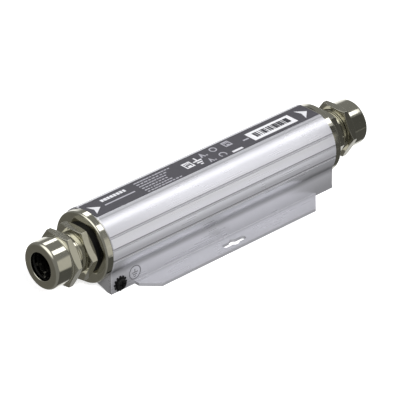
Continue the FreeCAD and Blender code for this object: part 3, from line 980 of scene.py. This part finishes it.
@dataclass
class RatingLabel:
    """Film label with generic print, and the paper sticker on it.

    Attributes:
        arrows: start, end, lowest, highest and middle line of each arrowhead.
        main_marks: each white pictogram with its place and size.
        rows: end, place across and pitch of each small row.
        row_widths: least and greatest share of the pitch that a block fills.
    """

    top: float = 44.95
    sticker_top: float = 45.05
    arrows: tuple[tuple[float, ...], ...] = ((-84.5, -78.1, -5.0, 4.0, -0.6), (77.8, 84.1, -6.2, 4.4, -0.4))
    title: dict[str, float] = field(
        default_factory=lambda: dict(start_x=-73.0, pitch=2.35, centre_y=3.8, height=2.5, narrow=1.3, wide=2.25)
    )
    title_line: tuple[float, ...] = (-75.0, -52.5, -1.5, -0.5)
    main_marks: tuple[Mark, ...] = ((SOCKET_MARK, -10.6, 0.2, 6.2), (EARTH_MARK, -3.2, 0.9, 6.4))
    small_marks: tuple[Mark, ...] = (
        (PEAK_MARK, 3.2, 3.5, 4.8),
        (PEAK_MARK, 3.6, -3.9, 4.4),
        (ring(360.0), 12.2, 3.8, 5.0),
        (ring(270.0), 12.6, -4.2, 5.2),
        (SOCKET_MARK, 22.6, 3.4, 5.4),
    )
    mark_line: tuple[float, ...] = (18.5, 26.5, -6.9, -5.1)
    lead_mark: tuple[float, ...] = (32.2, 36.6, -1.1, 0.1)
    code: dict[str, float] = field(
        default_factory=lambda: dict(start_x=42.0, pitch=1.75, centre_y=-0.5, height=5.2, narrow=0.6, wide=2.1)
    )
    row_start: float = -47.9
    rows: tuple[Triple, ...] = (
        (-19.0, 5.3, 2.3),
        (-23.0, 3.0, 2.9),
        (-26.0, 0.7, 1.9),
        (-27.0, -1.7, 2.5),
        (-26.0, -4.1, 2.1),
        (-18.5, -6.3, 2.7),
    )
    row_height: float = 0.86
    row_widths: Point = (0.55, 0.96)
    row_tree: Tree = field(default_factory=block_row_tree)

    def row(self, name: str, finish: Finish, surface: float, **sizes: float) -> None:
        """Print one row of blocks, grown by the tree of rows.

        Args:
            name: name of the piece.
            finish: ink of the row.
            surface: height of what it is printed on.
            sizes: values of the tree's inputs, lengths in millimetres.
        """
        sizes.update(base_z=surface + INK_GAP_MM, thickness=INK_MM)
        values = {
            key.replace("_", " ").title(): value if isinstance(value, int) else value * MM
            for key, value in sizes.items()
        }
        placed(grown(name, self.row_tree, values, finish), "root")

    def mark(self, name: str, outlines: list[Outline], finish: Finish) -> None:
        """Print flat shapes on the film."""
        placed(inked(name, outlines, self.top, finish), "root")

    def small_rows(self) -> None:
        """Print the rows that stand for small type."""
        narrow, wide = self.row_widths
        for number, (end, y, pitch) in enumerate(self.rows):
            self.row(
                f"type_row_{number}",
                FINE_INK,
                self.top,
                start_x=self.row_start + pitch / 2,
                pitch=pitch,
                centre_y=y,
                height=self.row_height,
                narrow=narrow * pitch,
                wide=wide * pitch,
                count=int((end - self.row_start) / pitch),
                seed=number + 3,
            )

    def build(self) -> None:
        """Dress film and sticker, and print them."""
        dress_node("rating_label", LABEL_FILM)
        dress_node("serial_sticker", PAPER)
        self.mark("direction_arrows", [arrowhead(*arrow) for arrow in self.arrows], WHITE_INK)
        self.row("title_field", WHITE_INK, self.top, **self.title, count=8, seed=5)
        self.mark("title_underline", [bar(*self.title_line)], FINE_INK)
        self.small_rows()
        self.mark("main_pictograms", drawn(self.main_marks), WHITE_INK)
        self.mark("small_pictograms", drawn(self.small_marks), FINE_INK)
        self.mark("mark_underline", [bar(*self.mark_line)], WHITE_INK)
        self.mark("sticker_lead_mark", [bar(*self.lead_mark)], FINE_INK)
        self.row("sticker_bars", DARK_INK, self.sticker_top, **self.code, count=16, seed=7)


@dataclass
class EarthTerminal(Dressed):
    """Black cross-recess screw over a toothed washer."""

    nodes: Nodes = ((BLACK_STEEL, ("ground_screw", "ground_lock_washer")),)


@dataclass
class CircuitInside(Dressed):
    """Board, jacks and protective parts inside the barrel."""

    nodes: Nodes = (
        (LAMINATE, ("circuit_board",)),
        (JACK_PLASTIC, ("jack_body_left", "jack_body_right")),
        (TINPLATE, ("jack_shield_left", "jack_shield_right")),
        (GOLD, ("jack_contacts_left", "jack_contacts_right")),
        (TUBE_CERAMIC, ("gas_tubes",)),
        (EPOXY, ("suppressor_diodes", "line_chokes")),
        (CHIP_GLAZE, ("line_resistors",)),
        (BRASS, ("bonding_post",)),
        (ZINC, ("board_screw", "floor_screw")),
    )


@dataclass
class SpannerHexagon:
    """Hexagon from a station along X, with its corners turned down by a cone at both ends."""

    start: float
    length: float
    turn: float
    across_flats: float = 30.0
    corner_cut: float = 1.0
    corner_drop: float = 2.2

    @property
    def low(self) -> float:
        """Radius of the cone on the end faces."""
        return self.across_flats / math.sqrt(3) - self.corner_drop

    def reach(self, degrees: float) -> float:
        """Radius of the flats at an angle."""
        off = (degrees - self.turn) % 60 - 30
        return self.across_flats / 2 / math.cos(math.radians(off))

    def inset(self, degrees: float) -> float:
        """Length that the cone takes from the flat at an angle."""
        return max(0.0, self.reach(degrees) - self.low) / self.corner_drop * self.corner_cut

    def rows(self) -> list[Row]:
        """Draw the hexagon.

        Returns:
            Rows from the inner face over the flats to the outer face.
        """
        end = self.start + self.length
        return [
            lambda a: (self.start, min(self.reach(a), self.low)),
            lambda a: (self.start + self.inset(a), self.reach(a)),
            lambda a: (end - self.inset(a), self.reach(a)),
            lambda a: (end, min(self.reach(a), self.low)),
        ]


def plain_rows(*places: Point) -> list[Row]:
    """Rows with one station and one radius all the way round."""
    return [lambda _, place=place: place for place in places]


def round_rows(station: float, radius: float, size: float, first: float, last: float, steps: int) -> list[Row]:
    """Rows along a quarter round.

    Args:
        station: station of the round's centre.
        radius: radius of the round's centre.
        size: radius of the round.
        first: first angle in degrees, from the outward radius towards +X.
        last: last angle.
        steps: spans of the round.

    Returns:
        The rows.
    """
    turns = [math.radians(first + (last - first) * step / steps) for step in range(steps + 1)]
    return plain_rows(*((station + size * math.sin(turn), radius + size * math.cos(turn)) for turn in turns))


@dataclass
class CableGland:
    """Cap, gasket, gland body, claws, rubber ring and clamping nut of one end.

    Attributes:
        columns: faces round one sixth of a turned piece.
        body_turn, nut_turn: angle of one hexagon corner from the top.
        thread_gaps: bare length at the start and at the end of the thread.
    """

    side: Side
    thread: Tree
    axis: float = 24.2
    columns: int = 18
    body_start: float = 83.5
    hex_start: float = 94.5
    hex_length: float = 5.4
    body_turn: float = 32.0
    body_edge: float = 0.14
    entry_radius: float = 12.45
    entry_chamfer: float = 0.6
    bore_radius: float = 9.0
    pocket_radius: float = 11.0
    pocket_floor: float = 95.9
    thread_end: float = 113.3
    thread_crest: float = 12.42
    thread_depth: float = 0.75
    thread_pitch: float = 1.5
    thread_chamfer: Point = (0.5, 0.35)
    thread_gaps: Point = (0.7, 0.6)
    thread_sink: float = 0.03
    thread_steps: int = 72
    nut_start: float = 105.9
    nut_end: float = 122.3
    nut_hex_length: float = 4.6
    nut_turn: float = 31.0
    nut_edge: float = 0.16
    nut_chamfer: float = 0.5
    nut_thread: float = 12.5
    nut_barrel: float = 14.1
    nut_step: float = 0.25
    nose_round: float = 2.0
    mouth_radius: float = 8.5
    mouth_round: float = 0.4
    lip_start: float = 120.3
    cone_start: float = 117.5
    cone_radius: float = 9.7
    nodes: Nodes = (
        (NICKEL, ("end_cap", "gland_body", "dome_nut")),
        (RUBBER, ("cap_seal", "gland_gasket", "gland_grommet")),
        (CLAW_NYLON, ("gland_claws", "slip_ring")),
    )

    def turned(self, stem: str, rows: Sequence[Row], turn: float, edge_mm: float) -> Piece:
        """Closed nickel-plated piece from rows round the axis.

        Args:
            stem: name of the piece without its end.
            rows: rows of the skin.
            turn: angle of one hexagon corner, where a column stands.
            edge_mm: width of its rounded edges.

        Returns:
            The piece.
        """
        angles = [turn + 60 * index / self.columns for index in range(6 * self.columns)]
        rings = [[around(*row(angle), angle, self.axis) for angle in angles] for row in rows]
        made = solid_of(self.side.named(stem), rings, self.side)
        softened(made, edge_mm)
        return dressed(made, NICKEL)

    def body(self) -> Piece:
        """Build the gland body.

        Returns:
            Entry neck, spanner hexagon and the core under the clamping thread.
        """
        hexagon = SpannerHexagon(self.hex_start, self.hex_length, self.body_turn)
        core = self.thread_crest - self.thread_depth
        neck = plain_rows(
            (self.body_start, self.bore_radius),
            (self.body_start, self.entry_radius - self.entry_chamfer),
            (self.body_start + self.entry_chamfer, self.entry_radius),
            (self.hex_start, self.entry_radius),
        )
        stem = plain_rows(
            (self.hex_start + self.hex_length, core),
            (self.thread_end - self.thread_chamfer[0], core),
            (self.thread_end, core - self.thread_chamfer[1]),
            (self.thread_end, self.pocket_radius),
            (self.pocket_floor, self.pocket_radius),
            (self.pocket_floor, self.bore_radius),
        )
        rows = [*neck, *hexagon.rows(), *stem]
        return self.turned("threaded_gland_body", rows, self.body_turn, self.body_edge)

    def clamp_thread(self) -> Piece:
        """Wind the clamping thread.

        Returns:
            Its ridge, on the core of the gland body.
        """
        start = self.hex_start + self.hex_length + self.thread_gaps[0]
        values = {
            "Root Radius": (self.thread_crest - self.thread_depth - self.thread_sink) * MM,
            "Depth": (self.thread_depth + self.thread_sink) * MM,
            "Pitch": self.thread_pitch * MM,
            "Start": start * MM,
            "Turns": int((self.thread_end - self.thread_gaps[1] - start) / self.thread_pitch),
            "Axis Height": self.axis * MM,
            "Steps": self.thread_steps,
        }
        made = grown(self.side.named("clamp_thread"), self.thread, values, NICKEL)
        made.data.transform(self.side.matrix)
        made.data.shade_smooth()
        made.data.set_sharp_from_angle(angle=math.radians(35))
        return made

    def nut(self) -> Piece:
        """Build the clamping nut.

        Returns:
            Hexagon, round barrel with a rounded nose, thread and cone inside.
        """
        hexagon = SpannerHexagon(self.nut_start, self.nut_hex_length, self.nut_turn)
        nose = self.nut_end - self.nose_round
        step = self.nut_start + self.nut_hex_length
        lip = self.mouth_round
        rows = [
            *plain_rows(
                (self.nut_start + self.nut_chamfer, self.nut_thread),
                (self.nut_start, self.nut_thread + self.nut_chamfer),
            ),
            *hexagon.rows(),
            *plain_rows((step, self.nut_barrel + self.nut_step), (step + self.nut_step, self.nut_barrel)),
            *round_rows(nose, self.nut_barrel - self.nose_round, self.nose_round, 0, 90, 10),
            *round_rows(self.nut_end - lip, self.mouth_radius + lip, lip, 90, 180, 4),
            *plain_rows(
                (self.lip_start, self.mouth_radius),
                (self.lip_start, self.cone_radius),
                (self.cone_start, self.nut_thread),
            ),
        ]
        return self.turned("clamping_nut", rows, self.nut_turn, self.nut_edge)

    def build(self) -> None:
        """Make and dress everything at this end."""
        side = self.side.value
        for finish, stems in self.nodes:
            for stem in stems:
                dress_node(self.side.named(stem), finish)
        body = placed(self.body(), "root")
        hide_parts(f"gland_body_{side}")
        placed(self.clamp_thread(), "root")
        nut = placed(self.nut(), f"{side}_nut")
        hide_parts(f"dome_nut_{side}")


# Camera, floor and lights


@dataclass(frozen=True)
class Glow:
    """Round soft patch of the surround, even up to one angle and gone at the other."""

    towards: Triple
    inner: float
    outer: float
    colour: str
    strength: float


@dataclass(frozen=True)
class Card:
    """Flat card or softbox that shows in polished metal: length along X, width across."""

    name: str
    centre: Triple
    size: Point
    strength: float
    colour: str = "#FFFFFF"


@dataclass(frozen=True)
class Lamp:
    """Soft square lamp with the length of its edge."""

    name: str
    place: Triple
    size: float
    watts: float


def aimed(thing: Piece, place_mm: Triple, target_mm: Triple) -> None:
    """Put a camera or lamp at a place and turn it to a target.

    Args:
        thing: camera or lamp.
        place_mm: its place in millimetres.
        target_mm: what it looks at.
    """
    thing.location = Vector(place_mm) * MM
    thing.rotation_mode = "QUATERNION"
    towards = (Vector(target_mm) - Vector(place_mm)).normalized()
    thing.rotation_quaternion = towards.to_track_quat("-Z", "Y")


@dataclass
class Studio:
    """Camera at the photograph's angle, white floor, soft lamps and what metal mirrors."""

    eye: Triple = (-1102.85, -1157.87, 934.01)
    target: Triple = (-1.501, 0.0, 18.803)
    lens: float = 290.0
    clip: Point = (0.1, 20.0)
    daylight: str = "#FBFBFF"
    daylight_level: float = 0.18
    paper: str = "#F4F4F4"
    floor_bounce: str = "#5A5A5A"
    floor_glow: float = 0.7
    floor_half_m: float = 4.0
    surround_radius: float = 3000.0
    surround_base: tuple[str, float] = ("#FFFFFA", 0.26)
    glows: tuple[Glow, ...] = (
        Glow((0.62, -0.45, -0.64), 30.0, 48.0, "#FFFFF6", 0.1),
        Glow((-0.6, 0.6, -0.5), 10.0, 50.0, "#FFFCEE", 0.16),
        Glow((0.6, -0.79, 0.07), 18.0, 26.0, "#FFFDF2", 0.6),
        Glow((0.58, 0.42, -0.7), 10.0, 24.0, "#FFFFFF", 1.0),
        Glow((0.6, 0.74, -0.25), 14.0, 34.0, "#FFFFFF", 1.25),
        Glow((-0.55, 0.1, 0.83), 16.0, 44.0, "#FFFFFA", 1.8),
    )
    cards: tuple[Card, ...] = (
        Card("back_softbox", (680.0, 764.0, 925.0), (240.0, 370.0), 2.4),
        Card("top_softbox", (880.0, -437.0, 1121.0), (720.0, 400.0), 2.6),
        Card("black_flag", (190.0, -80.0, 45.0), (102.0, 112.0), 0.09, "#FFFFF6"),
        Card("front_softbox", (200.0, -184.0, 221.0), (190.0, 135.0), 1.15),
        Card("low_softbox", (140.0, -200.0, -3.0), (190.0, 128.0), 0.85),
    )
    card_aim: float = 24.0
    lamps: tuple[Lamp, ...] = (
        Lamp("key_lamp", (-500.0, -1150.0, 1200.0), 700.0, 33.0),
        Lamp("fill_lamp", (700.0, 1100.0, 700.0), 900.0, 8.0),
    )
    lamp_target: Triple = (0.0, 0.0, 20.0)

    def camera(self) -> None:
        """Place the camera and make it the scene's."""
        data = bpy.data.cameras.new("product_camera")
        data.lens = self.lens
        data.sensor_width = 36.0
        data.clip_start, data.clip_end = self.clip
        bpy.context.scene.camera = linked("product_camera", data)
        aimed(bpy.context.scene.camera, self.eye, self.target)

    def backdrop_share(self, tree: Tree) -> Value:
        """Part of the rays that see the white backdrop: camera, glossy and transmission."""
        path = add(tree, "ShaderNodeLightPath")
        return largest(path["Is Camera Ray"], path["Is Glossy Ray"], path["Is Transmission Ray"])

    def world(self) -> None:
        """White to the camera, plain soft daylight to everything else."""
        world = bpy.data.worlds.new("white_studio")
        bpy.context.scene.world = world
        tree = emptied(world)
        light = add(tree, "ShaderNodeBackground", {"Color": linear(self.daylight), "Strength": self.daylight_level})
        white = add(tree, "ShaderNodeBackground", {"Color": linear("#FFFFFF"), "Strength": 1.0})
        both = add(tree, "ShaderNodeMixShader", {0: self.backdrop_share(tree), 1: light, 2: white})
        add(tree, "ShaderNodeOutputWorld", {"Surface": both})

    def stage_piece(self, name: str, shell: Shell, material: bpy.types.Material, seen: Seen) -> None:
        """Add an object of the stage from its shell.

        Args:
            name: name of the piece.
            shell: its mesh, freed here.
            material: its material.
            seen: rays that may meet it.
        """
        mesh = bpy.data.meshes.new(name)
        shell.to_mesh(mesh)
        shell.free()
        mesh.materials.append(material)
        piece = linked(name, mesh)
        mirrored = seen is Seen.REFLECTIONS_ONLY
        for ray in ("camera", "diffuse", "shadow", "transmission", "volume_scatter"):
            setattr(piece, f"visible_{ray}", not mirrored)
        piece.visible_glossy = mirrored

    def floor(self) -> None:
        """Pale floor at the object's base that keeps its soft shadow."""
        material = bpy.data.materials.new("white_paper_floor")
        tree = emptied(material)
        paper = add(tree, "ShaderNodeBsdfDiffuse", {"Color": linear(self.paper)})
        bounce = add(tree, "ShaderNodeBsdfDiffuse", {"Color": linear(self.floor_bounce)})
        glow = add(tree, "ShaderNodeEmission", {"Color": linear("#FFFFFF"), "Strength": self.floor_glow})
        lit = add(tree, "ShaderNodeAddShader", {0: paper, 1: glow})
        both = add(tree, "ShaderNodeMixShader", {0: self.backdrop_share(tree), 1: bounce, 2: lit})
        under = add(tree, "ShaderNodeNewGeometry")["Backfacing"]
        clear = add(tree, "ShaderNodeBsdfTransparent")
        shown = add(tree, "ShaderNodeMixShader", {0: under, 1: both, 2: clear})
        add(tree, "ShaderNodeOutputMaterial", {"Surface": shown})
        shell = bmesh.new()
        bmesh.ops.create_grid(shell, x_segments=1, y_segments=1, size=self.floor_half_m)
        self.stage_piece("white_floor", shell, material, Seen.CAMERA_AND_LIGHT)

    def glowing(self, name: str, colour: Colour, strength: float) -> tuple[bpy.types.Material, Value]:
        """Material of a stage piece that only gives off light.

        Args:
            name: name of the material.
            colour: its colour.
            strength: its brightness.

        Returns:
            The material, and its one shader.
        """
        material = bpy.data.materials.new(name)
        material.cycles.emission_sampling = "NONE"
        tree = emptied(material)
        glow = add(tree, "ShaderNodeEmission", {"Color": colour, "Strength": strength})
        add(tree, "ShaderNodeOutputMaterial", {"Surface": glow})
        return material, glow

    def surround(self) -> None:
        """Grey studio room round the object, which only polished metal shows."""
        code, level = self.surround_base
        material, glow = self.glowing("studio_room_grey", linear(code), 1.0)
        tree = material.node_tree
        place = add(tree, "ShaderNodeTexCoord")["Object"]
        towards = add(tree, "ShaderNodeVectorMath", {0: place}, operation="NORMALIZE")
        tone: Input = scaled(code, level, most=math.inf)
        for patch in self.glows:
            way = Vector(patch.towards).normalized()
            near = add(tree, "ShaderNodeVectorMath", {0: towards, 1: way}, operation="DOT_PRODUCT")["Value"]
            share = faded(near, *(math.cos(math.radians(angle)) for angle in (patch.outer, patch.inner)))
            tone = blended(share, tone, scaled(patch.colour, patch.strength, most=math.inf))
        tree.links.new(tone.socket, glow.node.inputs["Color"])
        shell = bmesh.new()
        bmesh.ops.create_icosphere(shell, subdivisions=4, radius=self.surround_radius * MM)
        self.stage_piece("studio_room", shell, material, Seen.REFLECTIONS_ONLY)

    def reflector(self, card: Card) -> None:
        """Add one card that faces the barrel.

        Args:
            card: its place, size and brightness.
        """
        centre = Vector(card.centre)
        facing = (Vector((centre.x, 0.0, self.card_aim)) - centre).normalized()
        along = Vector((1.0, 0.0, 0.0))
        across = facing.cross(along).normalized()
        half_x, half_y = card.size[0] / 2, card.size[1] / 2
        corners = ((-1, -1), (1, -1), (1, 1), (-1, 1))
        points = [centre + along * (half_x * a) + across * (half_y * b) for a, b in corners]
        shell = bmesh.new()
        shell.faces.new([shell.verts.new(point * MM) for point in points])
        material, _ = self.glowing(f"{card.name}_cloth", linear(card.colour), card.strength)
        self.stage_piece(card.name, shell, material, Seen.REFLECTIONS_ONLY)

    def lamp(self, lamp: Lamp) -> None:
        """Add one lamp that lights the object and shows in nothing.

        Args:
            lamp: its place, size and power.
        """
        data = bpy.data.lights.new(lamp.name, "AREA")
        data.shape = "SQUARE"
        data.size = lamp.size * MM
        data.energy = lamp.watts
        made = linked(lamp.name, data)
        aimed(made, lamp.place, self.lamp_target)
        made.visible_camera = made.visible_glossy = False

    def build(self) -> None:
        """Set up the whole studio."""
        bpy.context.scene.view_settings.view_transform = "Standard"
        self.camera()
        self.world()
        self.floor()
        self.surround()
        for card in self.cards:
            self.reflector(card)
        for lamp in self.lamps:
            self.lamp(lamp)
        log.info("studio ready")


def main() -> None:
    """Build and dress the whole object in its studio."""
    logging.basicConfig(level=logging.INFO, format="%(name)s: %(message)s")
    thread = thread_tree()
    Housing().build()
    RatingLabel().build()
    EarthTerminal().build()
    CircuitInside().build()
    for side in Side:
        CableGland(side, thread).build()
    Studio().build()


if __name__ == "__main__":
    main()
